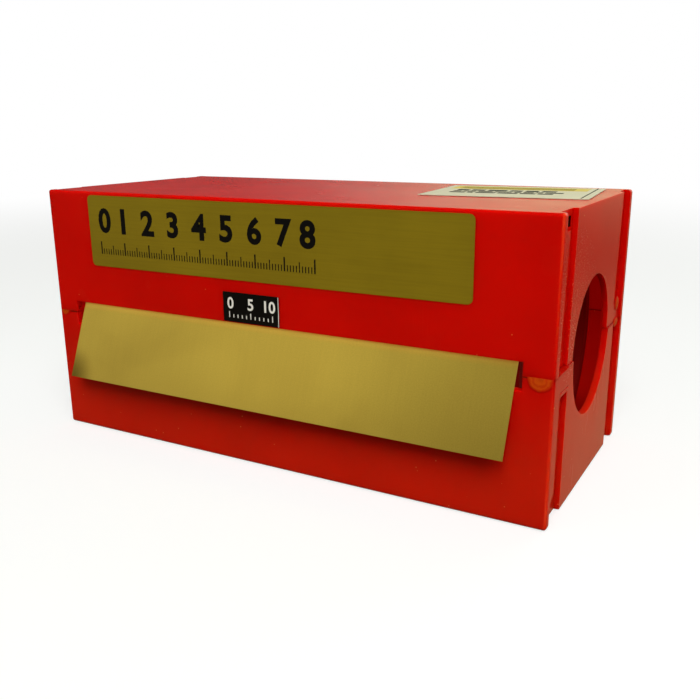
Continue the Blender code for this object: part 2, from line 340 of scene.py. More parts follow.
redPlastic = {
    "upper": (0.60, 0.0032, 0.001),
    "lower": (0.58, 0.0115, 0.003),       # painted floor light: more orange towards the bottom
    "floorLightFullBelow": 14 * mm,                   # and fully so below this height
    "edge": (0.76, 0.055, 0.014),         # where light shines through the thin edges
    "edgePattern": {"scale": 120, "from": (0.35, 0.65), "amount": (0.35, 0.75)},
    "worn": (0.62, 0.03, 0.012),
    "speck": (0.75, 0.22, 0.10),
    "seamLine": (0.20, 0.003, 0.001),
    "recess": (0.02, 0.0006, 0.0003),
    "roughness": 0.25,
    "specular": 0.022,
    "glow": 0.9,                          # how much light spreads under the surface
    "glowReach": (1.0, 0.10, 0.04),
    "glowDistance": 4.0 * mm,
    "inside": (1.0, 0.004, 0.002),        # daylight that comes through the walls
    "insideGlow": 0.13,
    "slotGlow": 0.13,                     # light that the foil throws on the slot's lips
    "slotTint": (1.0, 0.30, 0.06),
    "pigment": {"scale": 26, "tone": (0.93, 1.05)},
    "gloss": {"scale": 60, "change": (-0.018, 0.024)},
    "scratches": [
        {"turn": (28, 14, 8), "fineness": 2600, "length": 34, "threshold": 0.70},
        {"turn": (-38, 22, 64), "fineness": 3100, "length": 48, "threshold": 0.72},
        {"turn": (75, -12, 30), "fineness": 2400, "length": 26, "threshold": 0.73},
    ],
    "scratchSoftness": 0.04,
    "scratched": {"scale": 38, "from": (0.46, 0.7), "paler": 0.2, "rougher": 0.03, "depth": 0.0000005},
    "dust": {"scale": 210, "size": (0.03, 0.055), "paler": 0.6},
    "grain": {"scale": 2300, "from": (0.60, 0.68), "paler": 0.5, "rougher": 0.25},
    "chalky": {"place": (84, -22, 56), "reach": 24},    # the grain shows by the hole
    "endDepth": 1 * mm,                   # and only this near to the end's outer face
    "swells": {"scale": 30, "depth": 0.00001},
    "skin": {"scale": 900, "depth": 0.0000004},
}


def scratchLines(tree, scratch):
    fineness = scratch["fineness"]
    stretched = mappedCoords(tree, scratch["turn"], (fineness, fineness, scratch["length"]))
    lines = noiseNode(tree, stretched, 1.0, detail=1.0)
    return rangeNode(tree, lines, scratch["threshold"], scratch["threshold"] + redPlastic["scratchSoftness"])


def makeRedPlastic():
    made = newMaterial("redPlastic")
    tree = made.node_tree
    coords = objectCoords(tree)
    part = placeParts(tree)
    # slow change of tone, as pigment flows in the mould
    pigment = redPlastic["pigment"]
    tone = spreadNoise(tree, noiseNode(tree, coords, pigment["scale"], detail=3), *pigment["tone"])
    # fine handling scratches in three directions, where a slow pattern lets them show
    scratched = redPlastic["scratched"]
    patches = rangeNode(tree, noiseNode(tree, coords, scratched["scale"], detail=2), *scratched["from"])
    first, second, third = [scratchLines(tree, scratch) for scratch in redPlastic["scratches"]]
    lines = mathNode(tree, "MAXIMUM", mathNode(tree, "MAXIMUM", first, second), third)
    lines = product(tree, lines, patches)
    # dust and small chips
    dust = redPlastic["dust"]
    cells = addNode(tree, "TexVoronoi", {"Vector": coords, "Scale": dust["scale"]}, feature="F1")
    specks = fadeOut(tree, cells.outputs["Distance"], *dust["size"])
    # pale moulding specks on the end, thickest by the hole
    pale = redPlastic["grain"]
    grain = rangeNode(tree, noiseNode(tree, coords, pale["scale"], detail=2), *pale["from"])
    onEnd = mathNode(tree, "GREATER_THAN", part["X"], endFace - redPlastic["endDepth"])
    grain = product(tree, grain, nearPoint(tree, redPlastic["chalky"]), onEnd)

    # painted floor light, from the bottom up to the seam
    rising = rangeNode(tree, part["Z"], redPlastic["floorLightFullBelow"], seamHeight)
    colour = mixColour(tree, rising, redPlastic["lower"], redPlastic["upper"])
    colour = toneColour(tree, colour, tone)
    colour = mixColour(tree, product(tree, lines, scratched["paler"]), colour, redPlastic["worn"])
    colour = mixColour(tree, product(tree, grain, pale["paler"]), colour, redPlastic["speck"])
    colour = mixColour(tree, product(tree, specks, dust["paler"]), colour, redPlastic["speck"])
    edge = redPlastic["edgePattern"]
    uneven = noiseNode(tree, coords, edge["scale"], detail=2)
    uneven = rangeNode(tree, uneven, *edge["from"], *edge["amount"])
    rim = addNode(tree, "Attribute", attribute_name="rim").outputs["Fac"]
    colour = mixColour(tree, product(tree, rim, uneven), colour, redPlastic["edge"])
    colour = mixColour(tree, seamLines(tree), colour, redPlastic["seamLine"])
    # painted shade on the walls of the small windows
    colour = mixColour(tree, windowWalls(tree), colour, redPlastic["recess"])

    gloss = redPlastic["gloss"]
    rough = spreadNoise(tree, noiseNode(tree, coords, gloss["scale"], detail=2), *gloss["change"])
    rough = mathNode(tree, "ADD", rough, redPlastic["roughness"])
    rough = mathNode(tree, "ADD", rough, product(tree, lines, scratched["rougher"]))
    rough = mathNode(tree, "ADD", rough, product(tree, grain, pale["rougher"]))

    lips = slotLips(tree)
    glow = product(tree, insideBox(tree), redPlastic["insideGlow"])
    glow = mathNode(tree, "ADD", glow, product(tree, lips, redPlastic["slotGlow"]))

    swells = redPlastic["swells"]
    skin = redPlastic["skin"]
    normal = bumpNode(tree, noiseNode(tree, coords, swells["scale"], detail=0), swells["depth"])
    normal = bumpNode(tree, noiseNode(tree, coords, skin["scale"], detail=1), skin["depth"], normal)
    normal = bumpNode(tree, lines, scratched["depth"], normal)
    setShader(
        tree,
        Base_Color=colour,
        Roughness=rough,
        Normal=normal,
        Specular_IOR_Level=redPlastic["specular"],
        Subsurface_Weight=redPlastic["glow"],
        Subsurface_Radius=redPlastic["glowReach"],
        Subsurface_Scale=redPlastic["glowDistance"],
        Emission_Color=mixColour(tree, lips, redPlastic["inside"], redPlastic["slotTint"]),
        Emission_Strength=glow,
    )
    return made


brass = {
    "colour": (0.540, 0.389, 0.061),
    "dull": (0.30, 0.225, 0.042),
    "roughness": 0.32,
    "specular": 0.05,
    "width": 150 * mm,
    "length": 2500 * mm,
    "rolling": {"scale": (1500, 30, 1), "tone": (0.985, 1.015), "depth": 0.0000007},
    "grain": {"scale": 2600, "tone": (0.95, 1.05), "depth": 0.0000010},
    "cloud": {"scale": 30, "roughness": 0.55, "distortion": 0.4, "change": (-0.03, 0.05)},
    "smudges": {"from": (0.42, 0.72), "amount": 0.16},
    # painted light: the foil lighter towards the top and darker towards the right
    "paintedLightUpwards": {"from": (20 * mm, 44 * mm), "tone": (0.86, 1.08)},
    "paintedShadeRightwards": {"from": (32 * mm, 78 * mm), "tone": (1.0, 0.92)},
    # a thumb mark on the lower left corner, and a paler patch
    "stain": {"place": (-75.5, -45.4, 20.2), "reach": 11.0, "darker": 0.5, "rougher": 0.2},
    "bright": {"place": (6, -42, 31), "reach": 46, "squeeze": (1, 1, 2.2), "paler": 0.16},
    "inBox": (0.11, 0.002, 0.001),        # painted shade and red light on the coil, where it lies in the red box
    "inBoxFrom": (2.3 * mm, 3.2 * mm),    # in from the front face
    "inBoxRougher": 0.3,
    "boxGlow": 0.045,
    "boxGlowLines": {"from": (0.35, 0.65), "amount": (0.6, 1.4)},
    "lipsFrom": (1.4 * mm, 2.2 * mm),
    "lipGlow": 0.10,                      # light from the slot's lips
    "lipTint": (1.0, 0.60, 0.09),
}


def makeBrass():
    made = newMaterial("brass")
    tree = made.node_tree
    place = addNode(tree, "TexCoord").outputs["UV"]
    size = (brass["width"], brass["length"], 1)
    along = addNode(tree, "Mapping", {"Vector": place, "Scale": size}).outputs[0]
    rolling = brass["rolling"]
    fine = brass["grain"]
    clouded = brass["cloud"]
    # rolling lines run along the strip
    rolled = addNode(tree, "Mapping", {"Vector": along, "Scale": rolling["scale"]}).outputs[0]
    lines = noiseNode(tree, rolled, 1.0, detail=3, roughness=0.6)
    grain = noiseNode(tree, along, fine["scale"], detail=3, roughness=0.6)
    cloud = noiseNode(tree, along, clouded["scale"], 3, clouded["roughness"], clouded["distortion"])
    smudges = rangeNode(tree, cloud, *brass["smudges"]["from"])
    stain = nearPoint(tree, brass["stain"])
    bright = nearPoint(tree, brass["bright"])
    part = placeParts(tree)
    paintedLightUpwards = brass["paintedLightUpwards"]
    paintedShadeRightwards = brass["paintedShadeRightwards"]
    # painted light and shade over the foil's height and width
    shade = product(
        tree,
        rangeNode(tree, part["Z"], *paintedLightUpwards["from"], *paintedLightUpwards["tone"], smooth=False),
        rangeNode(tree, part["X"], *paintedShadeRightwards["from"], *paintedShadeRightwards["tone"]),
    )
    inBox = rangeNode(tree, part["Y"], *(frontFace + depth for depth in brass["inBoxFrom"]))
    outside = mathNode(tree, "SUBTRACT", 1.0, inBox)
    atLips = rangeNode(tree, part["Y"], *(frontFace + depth for depth in brass["lipsFrom"]))
    atLips = product(tree, atLips, outside)

    tone = product(
        tree,
        spreadNoise(tree, lines, *rolling["tone"]),
        spreadNoise(tree, grain, *fine["tone"]),
        shade,
    )
    tone = mathNode(tree, "ADD", tone, product(tree, bright, brass["bright"]["paler"]))
    tone = mathNode(tree, "SUBTRACT", tone, product(tree, stain, brass["stain"]["darker"]))
    smudged = product(tree, smudges, brass["smudges"]["amount"])
    colour = mixColour(tree, smudged, brass["colour"], brass["dull"])
    colour = toneColour(tree, colour, tone)
    # painted shade and red light on the coil inside the box
    colour = mixColour(tree, inBox, colour, brass["inBox"])
    rough = mathNode(tree, "ADD", spreadNoise(tree, cloud, *clouded["change"]), brass["roughness"])
    rough = mathNode(tree, "ADD", rough, product(tree, stain, brass["stain"]["rougher"]))
    rough = mathNode(tree, "ADD", rough, product(tree, inBox, brass["inBoxRougher"]))
    glowing = brass["boxGlowLines"]
    glowLines = rangeNode(tree, lines, *glowing["from"], *glowing["amount"])
    # painted red glow on the coil inside the box
    boxGlow = product(tree, inBox, brass["boxGlow"], glowLines)
    lipGlow = product(tree, atLips, brass["lipGlow"])
    normal = bumpNode(tree, lines, rolling["depth"])
    normal = bumpNode(tree, grain, fine["depth"], normal)
    setShader(
        tree,
        Base_Color=colour,
        Roughness=rough,
        Normal=normal,
        Metallic=outside,
        Specular_IOR_Level=brass["specular"],
        Emission_Color=mixColour(tree, atLips, redPlastic["inside"], brass["lipTint"]),
        Emission_Strength=mathNode(tree, "ADD", boxGlow, lipGlow),
    )
    return made


goldFilm = {
    "colour": (0.225, 0.175, 0.009),
    "metallic": 0.55,
    "specular": 0.08,
    "brushing": {"scale": (60, 60, 2600), "tone": (0.95, 1.05), "roughness": (0.42, 0.52)},
    "cloud": {"scale": 45, "tone": (0.94, 1.06), "depth": 0.00006},
}


def makeGoldFilm():
    made = newMaterial("goldFilm")
    tree = made.node_tree
    brushing = goldFilm["brushing"]
    clouded = goldFilm["cloud"]
    brushed = noiseNode(tree, mappedCoords(tree, scale=brushing["scale"]), 1.0, detail=3)
    cloud = noiseNode(tree, objectCoords(tree), clouded["scale"], detail=3)
    brushedTone = spreadNoise(tree, brushed, *brushing["tone"])
    cloudTone = spreadNoise(tree, cloud, *clouded["tone"])
    setShader(
        tree,
        Base_Color=toneColour(tree, goldFilm["colour"], product(tree, brushedTone, cloudTone)),
        Roughness=spreadNoise(tree, brushed, *brushing["roughness"]),
        Metallic=goldFilm["metallic"],
        Specular_IOR_Level=goldFilm["specular"],
        Normal=bumpNode(tree, cloud, clouded["depth"]),
    )
    return made


films = {
    "blackFilm": {"colour": (0.0028, 0.0028, 0.0028), "roughness": 0.42, "specular": 0.03, "variation": 0.06},
    "labelPaper": {"colour": (0.70, 0.67, 0.52), "roughness": 0.5, "specular": 0.12, "variation": 0.03},
    "yellowInk": {"colour": (0.74, 0.58, 0.10), "roughness": 0.5, "specular": 0.12, "variation": 0.05},
    "blackInk": {"colour": (0.0035, 0.0035, 0.0035), "roughness": 0.45, "specular": 0.03, "variation": 0.06},
    "whiteInk": {"colour": (0.80, 0.79, 0.76), "roughness": 0.5, "specular": 0.25, "variation": 0.03},
    "greyInk": {"colour": (0.012, 0.012, 0.011), "roughness": 0.6, "specular": 0.0, "variation": 0.06},
}
fibre = {"scale": 500, "gloss": (-0.04, 0.05), "depth": 0.000004}


def makeFilm(name, colour, roughness, specular, variation):
    made = newMaterial(name)
    tree = made.node_tree
    fibres = noiseNode(tree, objectCoords(tree), fibre["scale"], detail=3)
    tone = spreadNoise(tree, fibres, 1 - variation, 1 + variation)
    setShader(
        tree,
        Base_Color=toneColour(tree, colour, tone),
        Roughness=spreadNoise(tree, fibres, *(roughness + change for change in fibre["gloss"])),
        Specular_IOR_Level=specular,
        Normal=bumpNode(tree, fibres, fibre["depth"]),
    )
    return made


glue = {
    "heart": (0.50, 0.050, 0.003),
    "ring": (0.60, 0.070, 0.004),
    "skin": (0.53, 0.034, 0.002),
    "border": (0.57, 0.008, 0.002),
    "rings": ((0.40, "ring"), (0.52, "skin"), (0.70, "ring"), (0.80, "skin")),    # out from the middle
    "heartEnds": 0.15,
    "borderStarts": 0.98,
    "roughness": (0.30, 0.44),
    "specular": 0.01,
    "cloud": {"scale": 700, "shift": (-0.08, 0.08), "depth": 0.00001},
    "glow": 0.3,
    "glowDistance": 1.0 * mm,
}


def makeGlue():
    made = newMaterial("glue")
    tree = made.node_tree
    clouded = glue["cloud"]
    cloud = noiseNode(tree, objectCoords(tree), clouded["scale"], detail=2)
    # rings as it dried, by the distance from the middle of the drop
    out = addNode(tree, "Attribute", attribute_name="out").outputs["Fac"]
    out = mathNode(tree, "ADD", out, spreadNoise(tree, cloud, *clouded["shift"]))
    ramp = addNode(tree, "ValToRGB", {0: out})
    stops = ramp.color_ramp.elements
    stops[0].position = glue["heartEnds"]
    stops[0].color = opaque(glue["heart"])
    stops[1].position = glue["borderStarts"]
    stops[1].color = opaque(glue["border"])
    for position, name in glue["rings"]:
        stops.new(position).color = opaque(glue[name])
    setShader(
        tree,
        Base_Color=ramp.outputs[0],
        Roughness=spreadNoise(tree, cloud, *glue["roughness"]),
        Specular_IOR_Level=glue["specular"],
        Normal=bumpNode(tree, cloud, clouded["depth"]),
        Subsurface_Weight=glue["glow"],
        Subsurface_Radius=redPlastic["glowReach"],
        Subsurface_Scale=glue["glowDistance"],
    )
    return made


redFinish = makeRedPlastic()
brassFinish = makeBrass()
goldFinish = makeGoldFilm()
filmFinishes = {name: makeFilm(name, **film) for name, film in films.items()}
glueFinish = makeGlue()
print("materials made")


# Housing halves: the frame's own shapes with their doubles merged, so that the rounded edges shade as curves

housing = {
    "mergeDistance": 0.001 * mm,
    "flatAngle": 0.3,
    "smoothAngle": 42,
    "flatNormal": 0.996,        # faces this square to an axis are flat ones
    "holeWall": 1.0 * mm,       # the hole's wall is at least this deep
    "holeNormal": 0.02,
}


def mergedCopy(nodeName, name):
    piece = bpy.data.objects.new(name, nodes[nodeName].data.copy())
    bpy.context.scene.collection.objects.link(piece)
    chooseOnly(piece)
    bpy.ops.mesh.customdata_custom_splitnormals_clear()
    editMode(piece, "ALL")
    bpy.ops.mesh.remove_doubles(threshold=housing["mergeDistance"])
    bpy.ops.mesh.dissolve_limited(angle_limit=math.radians(housing["flatAngle"]))
    objectMode()
    return named(piece, name)


def markRims(piece):
    # a value of 1 along the middle of each rounded edge, 0 on the faces beside it
    mesh = piece.data
    flat = set()
    for face in mesh.polygons:
        squareness = max(abs(value) for value in face.normal)
        ends = [mesh.vertices[index].co.x for index in face.vertices]
        deep = max(ends) - min(ends) > housing["holeWall"]
        holeWall = abs(face.normal.x) < housing["holeNormal"] and deep
        if squareness > housing["flatNormal"] or holeWall:
            flat.update(face.vertices)
    rim = mesh.attributes.new("rim", "FLOAT", "POINT")
    for index, item in enumerate(rim.data):
        item.value = 0.0 if index in flat else 1.0


def makeHalf(nodeName, name):
    piece = mergedCopy(nodeName, name)
    markRims(piece)
    smoothByAngle(piece, housing["smoothAngle"])
    applyModifier(piece, "WEIGHTED_NORMAL", mode="FACE_AREA", weight=100, keep_sharp=True)
    return finishPiece(piece, redFinish, [nodeName])


makeHalf("upper_shell", "upperHalf")
makeHalf("lower_shell", "lowerHalf")
print("housing halves dressed")


# Cement in the seam: the lower half's upper rim, drawn up to the other half

seam = {"recess": 0.02 * mm, "clear": 0.01 * mm, "upNormal": 0.99, "nearRim": 0.05 * mm, "smoothAngle": 30}


def makeSeam():
    piece = mergedCopy("lower_shell", "seamCement")
    rim = seamHeight - seamGap / 2

    def onRim(face):
        return face.normal.z > seam["upNormal"] and abs(face.center.z - rim) < seam["nearRim"]

    selectFaces(piece, onRim)
    bpy.ops.mesh.select_all(action="INVERT")
    bpy.ops.mesh.delete(type="FACE")
    bpy.ops.mesh.select_all(action="SELECT")
    bpy.ops.mesh.inset(thickness=seam["recess"], depth=0, use_boundary=True)
    bpy.ops.mesh.select_all(action="INVERT")
    bpy.ops.mesh.delete(type="FACE")
    bpy.ops.mesh.select_all(action="SELECT")
    bpy.ops.transform.translate(value=(0, 0, seam["clear"]))
    bpy.ops.mesh.extrude_region_move(TRANSFORM_OT_translate={"value": (0, 0, seamGap - 2 * seam["clear"])})
    bpy.ops.mesh.select_all(action="SELECT")
    bpy.ops.mesh.normals_make_consistent(inside=False)
    objectMode()
    smoothByAngle(piece, seam["smoothAngle"])
    return finishPiece(piece, redFinish)


makeSeam()
print("seam filled")


# Foil: one sheet wound into a coil, its free end drawn out through the slot

foil = {
    "thickness": 0.2 * mm,
    "pitch": 0.28 * mm,
    "turns": 11.5,
    "lean": 21.21,              # degrees from upright
    "wall": 2.4 * mm,
    "freeLength": 21.8 * mm,
    "seat": 0.25 * mm,
    "stepsPerTurn": 60,
    "tailSteps": 44,
    "columns": 30,
    "wave": 0.10 * mm,
    "waveScale": (28, 20),      # across the foil and along it
    "waveStart": 0.7,
    "smoothAngle": 40,
}


def foilPath():
    radius = (foilHigh.z - foilLow.z) / 2
    middle = Vector((foilHigh.y - radius, foilLow.z + radius))
    lean = math.radians(foil["lean"])
    out = Vector((-math.cos(lean), math.sin(lean)))
    down = Vector((-math.sin(lean), -math.cos(lean)))
    start = radius - foil["seat"]
    points = []
    steps = round(foil["turns"] * foil["stepsPerTurn"])
    leaving = math.atan2(out.y, out.x)
    for step in range(steps, 0, -1):
        back = 2 * math.pi * step / foil["stepsPerTurn"]
        distance = start - foil["pitch"] * back / (2 * math.pi)
        angle = leaving - back
        points.append(middle + distance * Vector((math.cos(angle), math.sin(angle))))
    leave = middle + out * start
    slotMiddle = Vector((frontFace + foil["wall"] / 2, seamHeight))
    end = slotMiddle + down * foil["freeLength"]
    reach = (end - leave).length
    for step in range(foil["tailSteps"] + 1):
        points.append(leave + down * reach * step / foil["tailSteps"])
    return points, out


def makeFoil():
    points, out = foilPath()
    rows = len(points) - 1
    columns = foil["columns"]
    bpy.ops.mesh.primitive_grid_add(x_subdivisions=columns, y_subdivisions=rows, size=1, calc_uvs=True)
    piece = named(bpy.context.object, "foilSheet")
    lengths = [0.0]
    for before, after in zip(points, points[1:]):
        lengths.append(lengths[-1] + (after - before).length)
    total = lengths[-1]
    uvs = piece.data.uv_layers.active.data
    free = foil["freeLength"] - foil["wall"]
    across, along = foil["waveScale"]
    for vertex in piece.data.vertices:
        row = round((vertex.co.y + 0.5) * rows)
        x = vertex.co.x * brass["width"]
        # a slight wave, on the free end alone
        past = min(max((lengths[row] - (total - free)) / free, 0), 1)
        spot = Vector((x * across, lengths[row] * along, foil["waveStart"]))
        ripple = noise.noise(spot) * foil["wave"] * past * past * (3 - 2 * past)
        moved = points[row] + out * ripple
        vertex.co = (x, moved.x, moved.y)
    for loop in piece.data.loops:
        row = round(uvs[loop.index].uv.y * rows)
        uvs[loop.index].uv.y = lengths[row] / brass["length"]
    applyModifier(piece, "SOLIDIFY", thickness=foil["thickness"], offset=0)
    smoothByAngle(piece, foil["smoothAngle"])
    return finishPiece(piece, brassFinish, ["brass_foil"])


foilSheet = makeFoil()
print("foil wound:", len(foilSheet.data.polygons), "faces")


# Labels: the frame's own films, and generic prints on them

dressNode("front_label", goldFinish)
dressNode("thickness_label", filmFinishes["blackFilm"])
dressNode("top_label", filmFinishes["labelPaper"])
print("films dressed")

inkDepth = 0.02 * mm
figures = {"depth": 0.5, "curveSteps": 4}    # as written, before each is brought to its size


def addBar(low, high, surface, onTop=False):
    # a flat printed bar on the front or the top, low and high are its corners there
    middle = [(a + b) / 2 for a, b in zip(low, high)]
    size = [b - a for a, b in zip(low, high)]
    if onTop:
        middle.insert(2, surface + inkDepth / 2)
        size.insert(2, inkDepth)
    else:
        middle.insert(1, surface - inkDepth / 2)
        size.insert(1, inkDepth)
    bpy.ops.mesh.primitive_cube_add(size=1, location=middle)
    bar = bpy.context.object
    bar.scale = size
    return settle(bar)


def addFigure(body, height, middle, bottom, surface, bold):
    # an upright figure on the front, as tall as height
    bpy.ops.object.text_add(rotation=(math.radians(90), 0, 0))
    written = bpy.context.object
    written.data.body = body
    written.data.extrude = figures["depth"]
    written.data.offset = bold
    written.data.resolution_u = figures["curveSteps"]
    chooseOnly(written)
    bpy.ops.object.convert(target="MESH")
    figure = settle(bpy.context.object)
    corners = [vertex.co for vertex in figure.data.vertices]
    low = Vector([min(c[axis] for c in corners) for axis in range(3)])
    high = Vector([max(c[axis] for c in corners) for axis in range(3)])
    grow = height / (high.z - low.z)
    start = middle - (high.x - low.x) * grow / 2
    for vertex in figure.data.vertices:
        vertex.co.x = start + (vertex.co.x - low.x) * grow
        vertex.co.z = bottom + (vertex.co.z - low.z) * grow
        vertex.co.y = surface - inkDepth * (high.y - vertex.co.y) / (high.y - low.y)
    return figure


frontScale = {
    "left": 22.6 * mm,
    "length": 80,               # millimetre marks
    "figureHeight": 7.9 * mm,
    "figureBottom": 67.6 * mm,
    "figureBold": 0.035,
    "inward": 2.2 * mm,         # for the first and the last figure
    "markBottom": 60.9 * mm,
    "markWidth": 0.32 * mm,
    "tensWider": 1.5,
    "marks": {10: 4.0 * mm, 5: 2.9 * mm, 1: 1.8 * mm},
}


def makeFrontScale():
    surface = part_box("front_label")[0].y
    start = -endFace + frontScale["left"]
    bottom = frontScale["markBottom"]
    inward = {0: frontScale["inward"], frontScale["length"]: -frontScale["inward"]}
    parts = []
    for mark in range(frontScale["length"] + 1):
        tall = next(height for step, height in frontScale["marks"].items() if mark % step == 0)
        middle = start + mark * mm
        half = frontScale["markWidth"] / 2 * (frontScale["tensWider"] if mark % 10 == 0 else 1)
        parts.append(addBar((middle - half, bottom), (middle + half, bottom + tall), surface))
        if mark % 10 == 0:
            figure = addFigure(
                str(mark // 10),
                frontScale["figureHeight"],
                middle + inward.get(mark, 0),
                frontScale["figureBottom"],
                surface,
                frontScale["figureBold"],
            )
            parts.append(figure)
    piece = joinAll(parts, "frontScale")
    return finishPiece(piece, filmFinishes["blackInk"])


makeFrontScale()

smallScale = {
    "margin": 2.2 * mm,
    "figureHeight": 3.5 * mm,
    "figureBottom": 3.9 * mm,
    "figureBold": 0.02,
    "figures": {0: 0.5 * mm, 5: 0, 10: -0.9 * mm},    # each figure's shift from its mark
    "markBottom": 1.3 * mm,
    "markWidth": 0.3 * mm,
    "steps": 10,
    "longMark": 1.8 * mm,
    "shortMark": 1.0 * mm,
    "edge": (0.25 * mm, 0.05 * mm),                   # in from the label's right edge
    "edgeMargin": 0.1 * mm,
}


def makeSmallScale():
    low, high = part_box("thickness_label")
    start = low.x + smallScale["margin"]
    spacing = (high.x - low.x - 2 * smallScale["margin"]) / smallScale["steps"]
    half = smallScale["markWidth"] / 2
    bottom = low.z + smallScale["markBottom"]
    parts = []
    for mark in range(smallScale["steps"] + 1):
        middle = start + mark * spacing
        shift = smallScale["figures"].get(mark)
        tall = smallScale["shortMark"] if shift is None else smallScale["longMark"]
        parts.append(addBar((middle - half, bottom), (middle + half, bottom + tall), low.y))
        if shift is not None:
            figure = addFigure(
                str(mark),
                smallScale["figureHeight"],
                middle + shift,
                low.z + smallScale["figureBottom"],
                low.y,
                smallScale["figureBold"],
            )
            parts.append(figure)
    # the film's cut edge shows as a pale line on the right
    left, right = [high.x - inward for inward in smallScale["edge"]]
    margin = smallScale["edgeMargin"]
    parts.append(addBar((left, low.z + margin), (right, high.z - margin), low.y))
    piece = joinAll(parts, "smallScale")
    return finishPiece(piece, filmFinishes["whiteInk"])


makeSmallScale()

# In the top print, left and right are in from its sides, and the rest is counted from its back edge
topPrint = {
    "width": 48.0 * mm,
    "height": 37.5 * mm,
    "turn": 5.5,
    "band": {"left": 2.5 * mm, "right": 4 * mm, "starts": 3 * mm, "ends": 13 * mm},
    "barsLeft": 6 * mm,
    "barsRight": 14 * mm,
    "barLength": (1.6 * mm, 6.0 * mm),
    "barRows": [
        {"starts": 15.5 * mm, "tall": 3.4 * mm, "gap": 1.0 * mm},
        {"starts": 20.6 * mm, "tall": 2.4 * mm, "gap": 0.7 * mm},
        {"starts": 24.6 * mm, "tall": 2.4 * mm, "gap": 0.7 * mm},
    ],
    "sideLine": {"from": 2.4 * mm, "to": 2.0 * mm, "margin": 1 * mm},    # in from the right side
    "bandLines": {"left": 5 * mm, "right": 8 * mm, "starts": 5.5 * mm, "spacing": 2.6 * mm, "tall": 0.7 * mm},
    "bandLineCount": 3,
}


def placeOnTop(piece):
    low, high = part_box("top_label")
    middle = ((low.x + high.x) / 2, (low.y + high.y) / 2, high.z)
    turned = Matrix.Rotation(math.radians(topPrint["turn"]), 4, "Z")
    piece.matrix_world = Matrix.Translation(middle) @ turned
    return settle(piece)


def makeTopPrint():
    half = topPrint["width"] / 2
    depth = topPrint["height"] / 2
    band = topPrint["band"]
    low = (-half + band["left"], depth - band["ends"])
    high = (half - band["right"], depth - band["starts"])
    yellow = placeOnTop(joinAll([addBar(low, high, 0, True)], "yellowBand"))
    dark = []
    # plain bars of uneven length stand for print
    for row in topPrint["barRows"]:
        top = depth - row["starts"]
        x = -half + topPrint["barsLeft"]
        while x < half - topPrint["barsRight"]:
            long = random.uniform(*topPrint["barLength"])
            dark.append(addBar((x, top - row["tall"]), (x + long, top), 0, True))
            x += long + row["gap"]
    bars = placeOnTop(joinAll(dark, "darkBars"))
    side = topPrint["sideLine"]
    low = (half - side["from"], -depth + side["margin"])
    high = (half - side["to"], depth - side["margin"])
    lines = [addBar(low, high, 0, True)]
    inBand = topPrint["bandLines"]
    for step in range(topPrint["bandLineCount"]):
        top = depth - (inBand["starts"] + inBand["spacing"] * step)
        low = (-half + inBand["left"], top - inBand["tall"])
        high = (half - inBand["right"], top)
        lines.append(addBar(low, high, inkDepth, True))
    grey = placeOnTop(joinAll(lines, "greyLines"))
    finishPiece(yellow, filmFinishes["yellowInk"])
    finishPiece(bars, filmFinishes["greyInk"])
    finishPiece(grey, filmFinishes["greyInk"])


makeTopPrint()
print("prints made")


# Dried cement: drops that hang from the seam, and lumps in the groove at the right end's back

drops = {
    "frontRightDrop": {"face": "front", "along": 81.4, "z": 40.4, "wide": 6.6, "tall": 7.2, "thick": 0.28},
    "frontLeftDrop": {"face": "front", "along": -82.6, "z": 40.4, "wide": 3.6, "tall": 3.4, "thick": 0.15},
    "grooveUpperLump": {"face": "end", "along": 31.0, "z": 46.0, "wide": 4.6, "tall": 4.4, "thick": 0.45},
    "grooveLowerLump": {"face": "end", "along": 31.5, "z": 39.8, "wide": 6.0, "tall": 2.8, "thick": 0.4},
}
dropShape = {
    "segments": 40,
    "rings": 24,
    "cut": 0.02,                # the front drops are cut off level, this share above their middle
    "ridges": 4.4,
    "ridgeHeight": 0.3,
    "sunk": 0.25,
    "smoothAngle": 60,
}
endPanel = endFace - 0.7 * mm


def makeDrop(name, drop):
    segments = dropShape["segments"]
    bpy.ops.mesh.primitive_uv_sphere_add(segments=segments, ring_count=dropShape["rings"], radius=1)
    piece = named(bpy.context.object, name)
    piece.rotation_euler = (math.radians(90), 0, 0)
    settle(piece)
    onFront = drop["face"] == "front"
    if onFront:
        cut = (0, 0, dropShape["cut"])
        editMode(piece, "ALL")
        bpy.ops.mesh.bisect(plane_co=cut, plane_no=(0, 0, 1), use_fill=True, clear_outer=True)
        objectMode()
    out = piece.data.attributes.new("out", "FLOAT", "POINT")
    plain = 1 - dropShape["ridgeHeight"]
    for vertex in piece.data.vertices:
        away = min(math.hypot(vertex.co.x, vertex.co.z), 1)
        out.data[vertex.index].value = away
        ridge = 0.5 + 0.5 * math.cos(dropShape["ridges"] * math.pi * away)
        height = (1 - away**2) ** 0.5 * (plain + dropShape["ridgeHeight"] * ridge)
        raised = (height if vertex.co.y < 0 else -dropShape["sunk"] * height) * drop["thick"] * mm
        along = drop["along"] * mm + vertex.co.x * drop["wide"] / 2 * mm
        z = drop["z"] * mm + vertex.co.z * drop["tall"] / 2 * mm
        if onFront:
            vertex.co = (along, frontFace - raised, z)
        else:
            vertex.co = (endPanel + raised, along, z)
    smoothByAngle(piece, dropShape["smoothAngle"])
    return finishPiece(piece, glueFinish)


for name, drop in drops.items():
    makeDrop(name, drop)
print("cement drops made")


# Camera, at the photograph's viewpoint

view = {
    "place": (0.1333, -0.22425, 0.1004),
    "heading": 29.53,
    "downward": 15.65,
    "roll": -0.44,
    "lens": 41.52,
    "sensor": 36,
    "nearest": 0.01,
}

